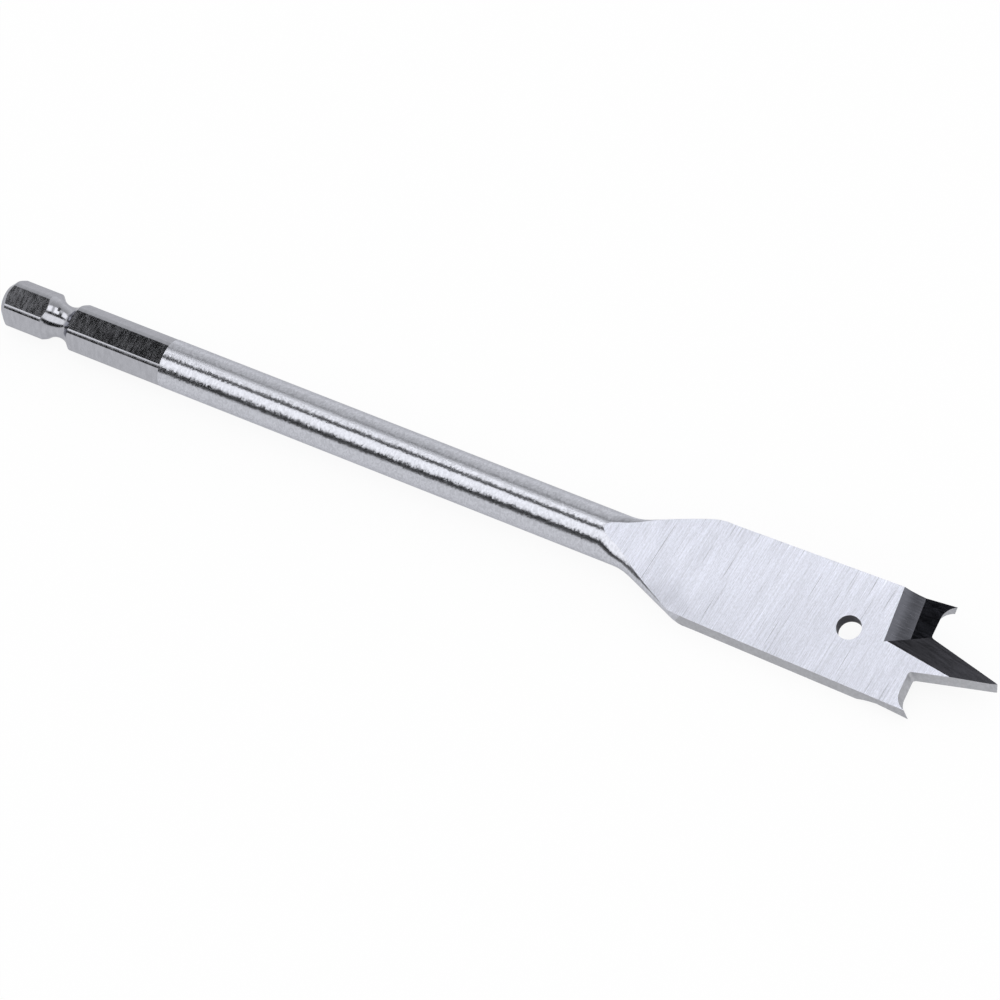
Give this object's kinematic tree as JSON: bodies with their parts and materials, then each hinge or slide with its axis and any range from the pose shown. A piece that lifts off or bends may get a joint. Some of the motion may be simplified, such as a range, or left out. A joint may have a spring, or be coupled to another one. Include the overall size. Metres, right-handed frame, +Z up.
{
  "type": "spade drill bit",
  "caption": "Steel spade drill bit with a grooved hexagonal quick-change shank, a round shaft and a flat blade with ground lips, spurs, a centre point and a hanging hole.",
  "frame": {"origin": "on the table under the middle of the bit's length and axis, as it lies", "axes": "+X along the bit's axis from the shank to the tip, +Z up, so the raised wing is towards +Y"},
  "size_m": [0.152, 0.0154, 0.007],
  "materials": {
    "steel": "satin shaft, ground blade and cutting edges"
  },
  "bodies": {
    "root": {"drill_bit": "steel"}
  },
  "joints": []
}
